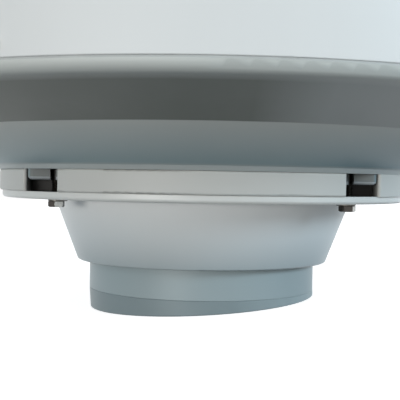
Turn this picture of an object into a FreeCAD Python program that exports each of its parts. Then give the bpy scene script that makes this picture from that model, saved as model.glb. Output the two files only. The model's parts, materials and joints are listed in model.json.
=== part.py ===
import FreeCAD, Part
import math
import os
import Sketcher

# Stabilised marine dome antenna on its flared pedestal.
# +Z is up and is the dome's own axis. The origin is on that axis, level with the lowest
# point of the tapered deck wedge. -Y is the front, and the wedge is thickest at -X.
# All lengths are millimetres.

Vector = FreeCAD.Vector
doc = FreeCAD.newDocument("dome_antenna")

# ---------------------------------------------------------------- driving dimensions
DIMENSIONS = [
    ("deck_slope", 3.75, "slope of the deck that the wedge takes up, degrees"),
    ("wedge_radius", 113.6, "outside of the tapered deck wedge, square to the deck"),
    ("wedge_height", 20.5, "wedge at its thick side"),
    ("passage_radius", 84.0, "cable passage through the wedge and the collar's foot"),
    ("deck_bolt_radius", 97.0, "circle of the deck bolt holes"),
    ("deck_hole_radius", 4.5, "deck bolt hole"),
    ("collar_radius", 113.8, "outside of the round collar"),
    ("collar_height", 28.4, "collar, foot to top flange"),
    ("collar_wall", 4.5, "collar wall"),
    ("foot_thickness", 7.0, "collar's foot flange"),
    ("neck_thickness", 5.0, "collar's top flange and the bowl's floor"),
    ("neck_bore", 92.0, "hole through the collar's top flange and the bowl's floor"),
    ("neck_screw_radius", 101.5, "circle of the screws that join bowl and collar"),
    ("bowl_foot_radius", 125.9, "flared bowl, outside at its foot"),
    ("bowl_neck_radius", 149.4, "flared bowl, outside under its lip"),
    ("bowl_height", 67.8, "flared bowl, foot to the lip's top"),
    ("bowl_wall", 4.5, "flared bowl wall"),
    ("lip_radius", 199.8, "lip flange, outside"),
    ("lip_thickness", 6.6, "lip flange"),
    ("lip_root", 153.5, "where the lip's flat ring begins"),
    ("spacer_radius", 202.5, "spacer ring, outside"),
    ("spacer_bore", 138.0, "spacer ring, inside"),
    ("spacer_height", 19.6, "spacer ring"),
    ("stud_spacing", 252.0, "square pattern of the four dome bolts"),
    ("stud_radius", 4.0, "M8 dome bolt"),
    ("stud_hole_radius", 4.5, "hole for a dome bolt"),
    ("notch_near", 119.8, "spacer notch, side next to the bolt"),
    ("notch_far", 152.8, "spacer notch, far side"),
    ("notch_back", 106.0, "spacer notch, back wall"),
    ("lug_height", 9.4, "locating lugs and rubber bushes that hang in the notches"),
    ("bush_radius", 5.0, "rubber bush round a dome bolt"),
    ("pan_foot_radius", 206.5, "base pan, foot of its bevel"),
    ("pan_foot_height", 4.0, "short band at 45 degrees round the pan's foot"),
    ("bevel_radius", 264.0, "base pan, top of its bevel"),
    ("bevel_curve", 370.0, "slight outward curve of the bevel"),
    ("bevel_height", 34.2, "top of the bevel above the pan's foot"),
    ("belly_radius", 338.0, "outer edge of the pan's shallow underside"),
    ("belly_height", 57.3, "that edge above the pan's foot"),
    ("dome_radius", 346.0, "radome at its lower edge"),
    ("seam_height", 66.2, "radome seam above the pan's foot"),
    ("pan_wall", 5.0, "base pan wall"),
    ("radome_wall", 5.0, "radome wall"),
    ("wall_start", 232.0, "height at which the radome wall begins to lean in"),
    ("wall_curve", 1200.0, "radius of the radome wall's side curve"),
    ("cap_start", 500.0, "height at which the round cap begins"),
    ("hub_top", 150.0, "top of the pan's thick middle"),
    ("pivot_height", 431.0, "elevation axis"),
    ("rest_elevation", 40.0, "where the dish points at rest, degrees above level"),
    ("arm_offset", 95.0, "middle of each yoke arm from the dome's axis"),
    ("arm_thickness", 6.0, "yoke arm plate"),
    ("gear_module", 2.0, "azimuth and elevation gears"),
    ("skew_module", 1.5, "polarisation gears"),
    ("backlash", 0.16, "gap between meshing teeth"),
    ("reflector_radius", 276.0, "dish rim"),
    ("focal_length", 190.0, "dish"),
    ("reflector_wall", 2.5, "dish shell"),
    ("vertex_offset", 25.0, "dish vertex in front of the elevation axis"),
]

sheet = doc.addObject("Spreadsheet::Sheet", "dims")
for row, (alias, number, meaning) in enumerate(DIMENSIONS, start=1):
    sheet.set(f"A{row}", meaning)
    sheet.set(f"B{row}", str(number))
    sheet.setAlias(f"B{row}", alias)
doc.recompute()


class Size:
    """A number together with the sheet expression that it comes from."""

    def __init__(self, value, text=None):
        self.value = float(value)
        self.text = repr(self.value) if text is None else text

    def join(self, other, sign, value):
        return Size(value, f"({self.text} {sign} {size(other).text})")

    def __add__(self, other):
        return self.join(other, "+", self.value + size(other).value)

    def __sub__(self, other):
        return self.join(other, "-", self.value - size(other).value)

    def __mul__(self, other):
        return self.join(other, "*", self.value * size(other).value)

    def __truediv__(self, other):
        return self.join(other, "/", self.value / size(other).value)

    def __radd__(self, other):
        return size(other) + self

    def __rsub__(self, other):
        return size(other) - self

    def __rmul__(self, other):
        return size(other) * self

    def __rtruediv__(self, other):
        return size(other) / self

    def __neg__(self):
        return Size(-self.value, f"(-1 * {self.text})")


def size(number):
    return number if isinstance(number, Size) else Size(number)


def tangent(degrees):
    return Size(math.tan(math.radians(degrees.value)), f"tan({degrees.text} * 1 deg)")


def sine(degrees):
    return Size(math.sin(math.radians(degrees.value)), f"sin({degrees.text} * 1 deg)")


def cosine(degrees):
    return Size(math.cos(math.radians(degrees.value)), f"cos({degrees.text} * 1 deg)")


def root(number):
    return Size(math.sqrt(number.value), f"sqrt({number.text})")


class Sheet:
    """The sheet's cells as sizes, by their aliases."""


dim = Sheet()
for alias, number, meaning in DIMENSIONS:
    setattr(dim, alias, Size(sheet.get(alias), f"dims.{alias}"))

# Heights of the stack, worked out upward from the deck.
collar_foot = dim.wedge_height
bowl_foot = collar_foot + dim.collar_height
lip_top = bowl_foot + dim.bowl_height
lip_bottom = lip_top - dim.lip_thickness
pan_foot = lip_top + dim.spacer_height
bevel_top = pan_foot + dim.bevel_height
belly_top = pan_foot + dim.belly_height
seam = pan_foot + dim.seam_height
stud_offset = dim.stud_spacing / 2

parts = []


# ---------------------------------------------------------------- modelling helpers
def new_body(label):
    body = doc.addObject("PartDesign::Body", "Body")
    body.Label = label
    body.AllowCompound = True
    parts.append(body)
    return body


def origin_part(body, role):
    return next(part for part in body.Origin.OriginFeatures if part.Role == role)


def new_sketch(body, plane, offset=None):
    """A sketch on one of the body's origin planes, moved along the plane's normal."""
    sketch = body.newObject("Sketcher::SketchObject", "Sketch")
    sketch.AttachmentSupport = [(origin_part(body, plane), "")]
    sketch.MapMode = "FlatFace"
    if offset is not None:
        sketch.AttachmentOffset = FreeCAD.Placement(Vector(0, 0, offset.value), FreeCAD.Rotation())
        sketch.setExpression("AttachmentOffset.Base.z", offset.text)
    return sketch


def new_tilted_sketch(body, plane, axis, angle, base):
    """A sketch whose plane is an origin plane turned about one of its own axes, at base."""
    sketch = new_sketch(body, plane)
    base = [size(part) for part in base]
    place = Vector(*(part.value for part in base))
    sketch.AttachmentOffset = FreeCAD.Placement(place, FreeCAD.Rotation(Vector(*axis), angle.value))
    sketch.setExpression("AttachmentOffset.Rotation.Angle", f"({angle.text}) * 1 deg")
    for name, part in zip("xyz", base):
        sketch.setExpression(f"AttachmentOffset.Base.{name}", part.text)
    return sketch


def bind(sketch, kind, references, amount):
    index = sketch.addConstraint(Sketcher.Constraint(kind, *references, amount.value))
    sketch.setExpression(f"Constraints[{index}]", amount.text)


def draw(sketch, points, arcs=None):
    """A closed outline through the points. arcs maps a side's number to (radius, bulge):
    bulge 1 turns left on the way from its first point to its second, -1 turns right."""
    arcs = arcs or {}
    points = [(size(x), size(y)) for x, y in points]
    first = sketch.GeometryCount
    ends = []
    for i, start in enumerate(points):
        stop = points[(i + 1) % len(points)]
        a = Vector(start[0].value, start[1].value, 0)
        b = Vector(stop[0].value, stop[1].value, 0)
        if i not in arcs:
            sketch.addGeometry(Part.LineSegment(a, b), False)
            ends.append((1, 2))
            continue
        radius, bulge = arcs[i]
        half = (b - a).Length / 2
        across = Vector(-(b - a).y, (b - a).x, 0).normalize()
        centre = (a + b) / 2 + across * bulge * math.sqrt(max(radius.value**2 - half**2, 0))
        turn_a = math.atan2(a.y - centre.y, a.x - centre.x)
        turn_b = math.atan2(b.y - centre.y, b.x - centre.x)
        circle = Part.Circle(centre, Vector(0, 0, 1), radius.value)
        span = (turn_a, turn_b) if bulge > 0 else (turn_b, turn_a)
        sketch.addGeometry(Part.ArcOfCircle(circle, *span), False)
        ends.append((1, 2) if bulge > 0 else (2, 1))
    count = len(points)
    for i in range(count):
        after = (i + 1) % count
        sketch.addConstraint(
            Sketcher.Constraint("Coincident", first + i, ends[i][1], first + after, ends[after][0])
        )
    for i, (x, y) in enumerate(points):
        bind(sketch, "DistanceX", (-1, 1, first + i, ends[i][0]), x)
        bind(sketch, "DistanceY", (-1, 1, first + i, ends[i][0]), y)
    for i, (radius, bulge) in arcs.items():
        bind(sketch, "Radius", (first + i,), radius)


def draw_circle(sketch, x, y, radius):
    x, y, radius = size(x), size(y), size(radius)
    index = sketch.addGeometry(
        Part.Circle(Vector(x.value, y.value, 0), Vector(0, 0, 1), radius.value), False
    )
    bind(sketch, "DistanceX", (-1, 1, index, 3), x)
    bind(sketch, "DistanceY", (-1, 1, index, 3), y)
    bind(sketch, "Radius", (index,), radius)


def draw_box(sketch, low_x, low_y, high_x, high_y):
    draw(sketch, [(low_x, low_y), (high_x, low_y), (high_x, high_y), (low_x, high_y)])


def finish(body, feature, cuts=False):
    """Recomputes, and for a cut makes sure that it took material away."""
    before = body.Tip.Shape.Volume if cuts and body.Tip else None
    body.Tip = feature
    doc.recompute()
    if cuts and before is not None and feature.Shape.Volume > before - 0.01:
        raise RuntimeError(f"{body.Label}: {feature.Name} cut nothing")
    return feature


def pad(body, sketch, length, midplane=False):
    feature = body.newObject("PartDesign::Pad", "Pad")
    feature.Profile = sketch
    feature.Midplane = midplane
    feature.setExpression("Length", size(length).text)
    return finish(body, feature)


def pocket(body, sketch, length=None):
    """Cuts along the sketch's normal, or right through both ways without a length."""
    previous = body.Tip
    feature = body.newObject("PartDesign::Pocket", "Pocket")
    feature.Profile = sketch
    if length is None:
        feature.Type = "ThroughAll"
        feature.Midplane = True
    else:
        feature.Reversed = True
        feature.setExpression("Length", size(length).text)
    body.Tip = previous
    return finish(body, feature, cuts=True)


def revolve(body, sketch):
    feature = body.newObject("PartDesign::Revolution", "Revolution")
    feature.Profile = sketch
    feature.ReferenceAxis = (sketch, ["V_Axis"])
    feature.Angle = 360
    return finish(body, feature)


def repeat_round(body, features, count):
    feature = body.newObject("PartDesign::PolarPattern", "PolarPattern")
    feature.Originals = features
    feature.Axis = (origin_part(body, "Z_Axis"), [""])
    feature.Angle = 360
    feature.Occurrences = count
    return finish(body, feature)


def soften(body, kind, amount, test):
    """A Fillet or Chamfer on the edges whose two end points both pass the test."""
    names = []
    for i, edge in enumerate(body.Tip.Shape.Edges, start=1):
        if all(test(edge.valueAt(end)) for end in (edge.FirstParameter, edge.LastParameter)):
            names.append(f"Edge{i}")
    if not names:
        raise RuntimeError(f"{body.Label}: no edge to soften")
    base = body.Tip
    feature = body.newObject(f"PartDesign::{kind}", kind)
    feature.Base = (base, names)
    feature.setExpression("Radius" if kind == "Fillet" else "Size", size(amount).text)
    return finish(body, feature)


def near(amount, target, slack=0.05):
    return abs(amount - size(target).value) < slack


def on_ring(radius, height):
    """A test for points at a radius from Z and at a height."""
    return lambda spot: near(math.hypot(spot.x, spot.y), radius) and near(spot.z, height)


def turned(label, points, arcs=None):
    """A body of revolution about Z, from an outline of (radius, height) points."""
    body = new_body(label)
    sketch = new_sketch(body, "XZ_Plane")
    draw(sketch, points, arcs)
    revolve(body, sketch)
    return body


def drill_round(body, circle_radius, hole_radius, count, turn=0.0):
    """A ring of through holes parallel to Z."""
    sketch = new_sketch(body, "XY_Plane")
    angle = math.radians(turn)
    draw_circle(
        sketch, circle_radius * math.cos(angle), circle_radius * math.sin(angle), hole_radius
    )
    hole = pocket(body, sketch)
    return repeat_round(body, [hole], count)


def rod_ring(label, circle_radius, steps, count, turn=0.0):
    """Round fasteners parallel to Z on a circle. steps are (radius, low, high) from the foot up."""
    body = new_body(label)
    angle = math.radians(turn)
    x, y = circle_radius * math.cos(angle), circle_radius * math.sin(angle)
    features = []
    for radius, low, high in steps:
        sketch = new_sketch(body, "XY_Plane", size(low))
        draw_circle(sketch, x, y, radius)
        features.append(pad(body, sketch, size(high) - size(low)))
    repeat_round(body, features, count)
    return body


def hexagon(across_flats):
    """Corner points of a hexagon, flats facing +-Y."""
    corner = size(across_flats) / math.sqrt(3)
    return [
        (corner * math.cos(math.radians(60 * i)), corner * math.sin(math.radians(60 * i)))
        for i in range(6)
    ]


def fixed(label, shape, placement=None):
    """A sub-part whose shape is made directly by Part, then placed."""
    item = doc.addObject("Part::Feature", "Feature")
    item.Label = label
    item.Shape = shape
    item.Placement = placement or FreeCAD.Placement()
    parts.append(item)
    return item


# ---------------------------------------------------------------- pedestal
def make_deck_wedge():
    """A ring cut level on top. Its side stands square to the sloping deck, and its bore is upright."""
    radius, top, slope = dim.wedge_radius, dim.wedge_height, dim.deck_slope
    drop = (top - radius * sine(slope)) / cosine(slope)
    middle = (drop * sine(slope), 0, radius * sine(slope))
    body = new_body("deck_wedge")
    disc = new_tilted_sketch(body, "XY_Plane", (0, -1, 0), slope, middle)
    draw_circle(disc, 0, 0, radius)
    pad(body, disc, drop + 12)
    above = new_sketch(body, "XY_Plane", top)
    draw_circle(above, 0, 0, radius + 10)
    pocket(body, above, 30)
    passage = new_sketch(body, "XY_Plane")
    draw_circle(passage, 0, 0, dim.passage_radius)
    pocket(body, passage)
    drill_round(body, dim.deck_bolt_radius, dim.deck_hole_radius, 6)
    rim = radius.value - 4
    outside = lambda spot: math.hypot(spot.x, spot.y) > rim
    soften(body, "Chamfer", 0.3, lambda spot: outside(spot) and near(spot.z, top))
    soften(body, "Fillet", 1.2, lambda spot: outside(spot) and spot.z < top.value - 4)


def make_pedestal_collar():
    radius, inner = dim.collar_radius, dim.collar_radius - dim.collar_wall
    foot, top = collar_foot, bowl_foot
    body = turned(
        "pedestal_collar",
        [
            (dim.passage_radius, foot),
            (radius, foot),
            (radius, top),
            (dim.neck_bore, top),
            (dim.neck_bore, top - dim.neck_thickness),
            (inner, top - dim.neck_thickness),
            (inner, foot + dim.foot_thickness),
            (dim.passage_radius, foot + dim.foot_thickness),
        ],
    )
    drill_round(body, dim.deck_bolt_radius, dim.deck_hole_radius, 6)
    drill_round(body, dim.neck_screw_radius, 3.3, 6, turn=30)
    soften(body, "Chamfer", 0.3, on_ring(radius, foot))


def make_pedestal_bowl():
    wall = dim.bowl_wall
    body = turned(
        "pedestal_bowl",
        [
            (dim.neck_bore, bowl_foot),
            (dim.bowl_foot_radius, bowl_foot),
            (dim.bowl_neck_radius, lip_bottom),
            (dim.lip_root, lip_bottom),
            (dim.lip_root, lip_top),
            (dim.bowl_neck_radius - wall, lip_top),
            (dim.bowl_foot_radius - wall, bowl_foot + dim.neck_thickness),
            (dim.neck_bore, bowl_foot + dim.neck_thickness),
        ],
    )
    # Upright gussets stiffen the flare from inside.
    rib = new_sketch(body, "XZ_Plane")
    foot = dim.bowl_foot_radius
    draw(
        rib,
        [
            (foot - 19, bowl_foot + 4),
            (foot - 3, bowl_foot + 4),
            (dim.bowl_neck_radius - 3.5, lip_bottom),
            (dim.bowl_neck_radius - 13, lip_bottom),
        ],
    )
    gusset = pad(body, rib, 4, midplane=True)
    repeat_round(body, [gusset], 6)
    drill_round(body, dim.neck_screw_radius, 3.3, 6, turn=30)
    soften(body, "Fillet", 2, on_ring(foot, bowl_foot))
    soften(body, "Fillet", 2, on_ring(dim.bowl_neck_radius, lip_bottom))


def make_pedestal_lip():
    """The bowl's flat lip, which takes the dome's bolts."""
    body = new_body("pedestal_lip")
    ring = new_sketch(body, "XY_Plane", lip_bottom)
    draw_circle(ring, 0, 0, dim.lip_radius)
    draw_circle(ring, 0, 0, dim.lip_root)
    pad(body, ring, dim.lip_thickness)
    studs = new_sketch(body, "XY_Plane", lip_bottom - 1)
    at_each_stud(lambda x, y: draw_circle(studs, x, y, dim.stud_hole_radius))
    pocket(body, studs, dim.lip_thickness + 2)
    soften(body, "Fillet", 3, on_ring(dim.lip_radius, lip_bottom))


def make_neck_screws():
    """Six M6 screws and nuts join the bowl's floor to the collar's top flange."""
    top, bottom = bowl_foot + dim.neck_thickness, bowl_foot - dim.neck_thickness
    body = new_body("neck_screws")
    angle = math.radians(30)
    x, y = dim.neck_screw_radius * math.cos(angle), dim.neck_screw_radius * math.sin(angle)
    shank = new_sketch(body, "XY_Plane", bottom - 6.5)
    draw_circle(shank, x, y, 3)
    head = new_sketch(body, "XY_Plane", top)
    draw(head, [(x + px, y + py) for px, py in hexagon(10)])
    features = [pad(body, shank, dim.neck_thickness * 2 + 7), pad(body, head, 4)]
    repeat_round(body, features, 6)
    nuts = new_body("neck_nuts")
    nut = new_sketch(nuts, "XY_Plane", bottom - 5)
    draw(nut, [(x + px, y + py) for px, py in hexagon(9.6)])
    draw_circle(nut, x, y, 3)
    repeat_round(nuts, [pad(nuts, nut, 5)], 6)


def at_each_stud(action):
    """Calls action(x, y) at the four bolt positions."""
    for sign_x in (-1, 1):
        for sign_y in (-1, 1):
            action(stud_offset * sign_x, stud_offset * sign_y)


def make_spacer_ring():
    """The spacer is cut right through at each bolt, so that the bolts show from the side."""
    body = new_body("spacer_ring")
    ring = new_sketch(body, "XY_Plane", lip_top)
    draw_circle(ring, 0, 0, dim.spacer_radius)
    draw_circle(ring, 0, 0, dim.spacer_bore)
    pad(body, ring, dim.spacer_height)
    notches = new_sketch(body, "XY_Plane", lip_top - 1)
    far_y = dim.spacer_radius
    for sign_x in (-1, 1):
        for sign_y in (-1, 1):
            draw_box(
                notches,
                dim.notch_near * sign_x,
                dim.notch_back * sign_y,
                dim.notch_far * sign_x,
                far_y * sign_y,
            )
    pocket(body, notches, dim.spacer_height + 2)
    reliefs = new_sketch(body, "XY_Plane", lip_top - 1)
    at_each_stud(lambda x, y: draw_circle(reliefs, x, y, 9))
    pocket(body, reliefs, dim.spacer_height + 2)
    rim = dim.spacer_radius
    mouths = (dim.notch_near, dim.notch_far)
    soften(
        body,
        "Fillet",
        2,
        lambda spot: near(math.hypot(spot.x, spot.y), rim) and any(near(abs(spot.x), side) for side in mouths),
    )


def make_dome_bolts():
    """Four M8 hex bolts from under the lip up into the base pan."""
    washer, head = 1.6, 5.3
    under_washer = lip_bottom - washer
    bolts = new_body("dome_bolts")
    washers = new_body("bolt_washers")
    features = []
    head_sketch = new_sketch(bolts, "XY_Plane", under_washer - head)
    draw(head_sketch, [(stud_offset + py, stud_offset + px) for px, py in hexagon(13)])
    features.append(pad(bolts, head_sketch, head))
    shank = new_sketch(bolts, "XY_Plane", under_washer)
    draw_circle(shank, stud_offset, stud_offset, dim.stud_radius)
    features.append(pad(bolts, shank, pan_foot + 11 - under_washer))
    repeat_round(bolts, features, 4)
    ring = new_sketch(washers, "XY_Plane", under_washer)
    draw_circle(ring, stud_offset, stud_offset, 8.5)
    draw_circle(ring, stud_offset, stud_offset, dim.stud_radius + 0.2)
    repeat_round(washers, [pad(washers, ring, washer)], 4)


def make_stud_bushes():
    """Black rubber bushes on the bolts hang from the pan in the spacer's notches."""
    body = new_body("stud_bushes")
    ring = new_sketch(body, "XY_Plane", pan_foot - dim.lug_height)
    draw_circle(ring, stud_offset, stud_offset, dim.bush_radius)
    draw_circle(ring, stud_offset, stud_offset, dim.stud_radius)
    repeat_round(body, [pad(body, ring, dim.lug_height)], 4)


# ---------------------------------------------------------------- base pan and radome
def make_base_pan():
    wall = dim.pan_wall
    rim = dim.dome_radius
    upstand = rim - dim.radome_wall - 0.3
    foot_band = pan_foot + dim.pan_foot_height
    body = turned(
        "base_pan",
        [
            (14, pan_foot),
            (dim.pan_foot_radius - dim.pan_foot_height, pan_foot),
            (dim.pan_foot_radius, foot_band),
            (dim.bevel_radius, bevel_top),
            (dim.belly_radius, belly_top),
            (rim, seam),
            (upstand, seam),
            (upstand, seam + 22),
            (upstand - 5.5, seam + 22),
            (upstand - 5.5, seam - 3),
            (dim.belly_radius - 6, belly_top + wall),
            (dim.bevel_radius - 3, bevel_top + wall + 1),
            (dim.pan_foot_radius - 3, foot_band + wall),
            (62, pan_foot + wall),
            (60, dim.hub_top),
            (14, dim.hub_top),
        ],
        {2: (dim.bevel_curve, 1), 4: (size(9.0), 1)},
    )
    # Radial ribs stiffen the pan inside.
    rib = new_sketch(body, "XZ_Plane")
    draw(
        rib,
        [
            (120, pan_foot + 2),
            (dim.pan_foot_radius - 4, pan_foot + 2),
            (dim.bevel_radius - 2, bevel_top + 2),
            (310, bevel_top + 17),
            (310, bevel_top + 27),
            (120, dim.hub_top + 1),
        ],
    )
    repeat_round(body, [pad(body, rib, 4, midplane=True)], 12)
    # A boss over each dome bolt takes its threaded insert.
    bosses = new_sketch(body, "XY_Plane", pan_foot)
    at_each_stud(lambda x, y: draw_circle(bosses, x, y, 13))
    pad(body, bosses, 17)
    # A lug stands in each notch beside the bolt, with a narrow web in front of the bush.
    lug_near, lug_side = stud_offset + dim.bush_radius + 0.4, dim.notch_far - 1.2
    lug_front = stud_offset + 7.6
    web_back, web_front = stud_offset + dim.bush_radius + 0.8, stud_offset + 8.4
    lugs = new_sketch(body, "XY_Plane", pan_foot - dim.lug_height)
    for sign_x in (-1, 1):
        for sign_y in (-1, 1):
            for near_x, near_y, far_x, far_y in (
                (lug_near, dim.notch_back + 2, lug_side, lug_front),
                (dim.notch_near + 0.9, web_back, stud_offset + 0.4, web_front),
            ):
                draw_box(lugs, near_x * sign_x, near_y * sign_y, far_x * sign_x, far_y * sign_y)
    pad(body, lugs, dim.lug_height + 0.5)
    bores = new_sketch(body, "XY_Plane", pan_foot - 1)
    at_each_stud(lambda x, y: draw_circle(bores, x, y, 7))
    pocket(body, bores, 13)
    ports = new_sketch(body, "XY_Plane", pan_foot - 1)
    for angle, radius in PORTS:
        turn = math.radians(angle)
        draw_circle(ports, PORT_CIRCLE * math.cos(turn), PORT_CIRCLE * math.sin(turn), radius)
    pocket(body, ports, 11)
    drill_blind(body, 36, 2, 6, dim.hub_top - 9, 10)
    cut_side_holes(body, 2.5, upstand - 10, 14)
    soften(body, "Fillet", 3, on_ring(dim.pan_foot_radius, foot_band))
    soften(body, "Fillet", 2, on_ring(dim.bevel_radius, bevel_top))
    lug_low = pan_foot - dim.lug_height
    soften(body, "Fillet", 5, lambda spot: near(abs(spot.x), lug_side) and near(abs(spot.y), lug_front))
    soften(body, "Fillet", 3.5, lambda spot: near(abs(spot.y), lug_front) and near(spot.z, lug_low))


PORT_CIRCLE = 76
PORTS = [(90, 4.75), (210, 4.75), (330, 7)]
SIDE_SCREWS = 8
SCREW_TURN = Size(22.5)


def drill_blind(body, circle_radius, hole_radius, count, low, depth):
    sketch = new_sketch(body, "XY_Plane", size(low))
    draw_circle(sketch, circle_radius, 0, hole_radius)
    return repeat_round(body, [pocket(body, sketch, depth)], count)


def side_sketch(body, start):
    """An upright sketch square to the first side screw, at a distance from the dome's axis."""
    base = (start * sine(SCREW_TURN), 0, start * cosine(SCREW_TURN))
    return new_tilted_sketch(body, "YZ_Plane", (0, 1, 0), SCREW_TURN, base)


def cut_side_holes(body, hole_radius, start, length):
    """Radial holes for the screws that hold the radome on."""
    sketch = side_sketch(body, size(start))
    draw_circle(sketch, 0, seam + 11, hole_radius)
    return repeat_round(body, [pocket(body, sketch, length)], SIDE_SCREWS)


def make_threaded_inserts():
    body = new_body("threaded_inserts")
    ring = new_sketch(body, "XY_Plane", pan_foot)
    draw_circle(ring, stud_offset, stud_offset, 7)
    draw_circle(ring, stud_offset, stud_offset, dim.stud_radius)
    repeat_round(body, [pad(body, ring, 12)], 4)


def make_radome():
    """A tall shell: an upright skirt, a side that leans in on a long curve, and a round cap."""
    rim, wall = dim.dome_radius, dim.radome_wall
    foot = seam + 1.5
    rise = dim.cap_start - dim.wall_start
    reach = root(dim.wall_curve * dim.wall_curve - rise * rise)
    centre = rim - dim.wall_curve
    cap_edge = centre + reach
    cap_radius = cap_edge * dim.wall_curve / reach
    cap_centre = dim.cap_start - rise * cap_edge / reach
    inner_curve = dim.wall_curve - wall
    shrink = inner_curve / dim.wall_curve
    body = turned(
        "radome",
        [
            (rim, foot),
            (rim, dim.wall_start),
            (cap_edge, dim.cap_start),
            (0, cap_centre + cap_radius),
            (0, cap_centre + cap_radius - wall),
            (centre + reach * shrink, dim.wall_start + rise * shrink),
            (rim - wall, dim.wall_start),
            (rim - wall, foot),
        ],
        {
            1: (dim.wall_curve, 1),
            2: (cap_radius, 1),
            4: (cap_radius - wall, -1),
            5: (inner_curve, -1),
        },
    )
    cut_side_holes(body, 2.7, rim - 20, 30)
    soften(body, "Fillet", 1, on_ring(rim, foot))


def make_dome_seal():
    rim = dim.dome_radius
    turned(
        "dome_seal",
        [(rim - 4.7, seam), (rim - 0.9, seam), (rim - 0.9, seam + 1.5), (rim - 4.7, seam + 1.5)],
    )


def make_radome_screws():
    """Round-headed M5 screws, set radially through the radome's skirt into the pan's upstand."""
    body = new_body("radome_screws")
    shank = side_sketch(body, dim.dome_radius - 13)
    draw_circle(shank, 0, seam + 11, 2.5)
    head = side_sketch(body, dim.dome_radius)
    draw_circle(head, 0, seam + 11, 4.7)
    features = [pad(body, shank, 13), pad(body, head, 2.6)]
    repeat_round(body, features, SIDE_SCREWS)
    face = dim.dome_radius.value + 2.5
    soften(body, "Fillet", 1.4, lambda spot: math.hypot(spot.x, spot.y) > face)


def make_ports():
    """Two coaxial sockets and one power socket, under the pan's middle."""
    body = new_body("coax_ports")
    power = new_body("power_port")
    for angle, radius in PORTS:
        turn = math.radians(angle)
        x, y = PORT_CIRCLE * math.cos(turn), PORT_CIRCLE * math.sin(turn)
        target = body if radius < 5 else power
        barrel = new_sketch(target, "XY_Plane", pan_foot - 13)
        draw_circle(barrel, x, y, radius)
        pad(target, barrel, 22)
        flange = new_sketch(target, "XY_Plane", pan_foot - 3)
        draw(flange, [(x + px, y + py) for px, py in hexagon(4.2 * radius)])
        pad(target, flange, 3)


# ---------------------------------------------------------------- gears
def tooth_half_angle(radius, teeth, module, gap):
    """Half of a tooth's angle at a radius, for a 20 degree involute."""
    pitch = module * teeth / 2
    base = pitch * math.cos(math.radians(20))

    def involute(amount):
        angle = math.acos(min(1, base / amount))
        return math.tan(angle) - angle

    return math.pi / (2 * teeth) - gap / (4 * pitch) + involute(pitch) - involute(max(radius, base))


def tooth_points(index, teeth, module, gap):
    """One tooth's outline, from its trailing root to its leading root."""
    pitch = module * teeth / 2
    base = pitch * math.cos(math.radians(20))
    foot, tip = pitch - 1.25 * module, pitch + module
    start = max(base, foot + 0.01)
    radii = [foot, start, (start + tip) / 2, tip]
    centre = 2 * math.pi * index / teeth
    halves = [(radius, tooth_half_angle(radius, teeth, module, gap)) for radius in radii]
    points = [(radius, centre - half) for radius, half in halves]
    points += [(radius, centre + half) for radius, half in reversed(halves)]
    return [Vector(radius * math.cos(turn), radius * math.sin(turn), 0) for radius, turn in points]


def gear_shape(teeth, module, width, bore):
    """A whole spur gear with a tooth on local +X, from z 0 to its width."""
    gap = dim.backlash.value
    points = [spot for i in range(teeth) for spot in tooth_points(i, teeth, module.value, gap)]
    blank = Part.Face(Part.makePolygon(points + points[:1])).extrude(Vector(0, 0, width))
    return blank.cut(Part.makeCylinder(bore, width + 2, Vector(0, 0, -1)))


def sector_shape(teeth, module, width, first, last, bore):
    """A toothed sector with its web and hub, teeth numbered from first to last."""
    gap = dim.backlash.value
    points = [
        spot for i in range(first, last + 1) for spot in tooth_points(i, teeth, module.value, gap)
    ]
    polygon = Part.makePolygon([Vector(0, 0, 0)] + points + [Vector(0, 0, 0)])
    blank = Part.Face(polygon).extrude(Vector(0, 0, width))
    hub = Part.makeCylinder(bore + 8, width)
    window_inner, window_outer = bore + 14, module.value * teeth / 2 - 10
    window = Part.makeCylinder(window_outer, width + 2, Vector(0, 0, -1))
    window = window.cut(Part.makeCylinder(window_inner, width + 2, Vector(0, 0, -1)))
    wedge = Part.makeCylinder(window_outer + 1, width + 2, Vector(0, 0, -1), Vector(0, 0, 1), 70)
    wedge.rotate(Vector(0, 0, 0), Vector(0, 0, 1), -35)
    spoke = Part.makeBox(window_outer, 8, width + 2, Vector(bore + 10, -4, -1))
    window = window.common(wedge).cut(spoke)
    web = blank.fuse(hub).cut(window)
    return web.cut(Part.makeCylinder(bore, width + 2, Vector(0, 0, -1))).removeSplitter()


AZIMUTH_TEETH, AZIMUTH_PINION_TEETH = 66, 18
ELEVATION_TEETH, ELEVATION_PINION_TEETH = 60, 18
SKEW_TEETH, SKEW_PINION_TEETH = 40, 18
GEAR_LOW, GEAR_WIDTH = 156.0, 8.0


def centre_distance(teeth, pinion_teeth, module):
    return module.value * (teeth + pinion_teeth) / 2


# ---------------------------------------------------------------- azimuth stage
def make_azimuth_post():
    body = turned(
        "azimuth_post",
        [
            (14, dim.hub_top),
            (62, dim.hub_top),
            (62, dim.hub_top + 6),
            (24, dim.hub_top + 6),
            (24, dim.hub_top + 24),
            (20, dim.hub_top + 24),
            (20, dim.hub_top + 46),
            (14, dim.hub_top + 46),
        ],
    )
    drill_round(body, 36, 2.2, 6)
    rod_ring("post_screws", 36, [(2, dim.hub_top - 9, GEAR_LOW), (3.8, GEAR_LOW, GEAR_LOW + 3)], 6)


def make_azimuth_gear():
    shape = gear_shape(AZIMUTH_TEETH, dim.gear_module, GEAR_WIDTH, 46)
    facing = FreeCAD.Rotation(Vector(0, 0, 1), 90)
    fixed("azimuth_gear", shape, FreeCAD.Placement(Vector(0, 0, GEAR_LOW), facing))


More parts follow.
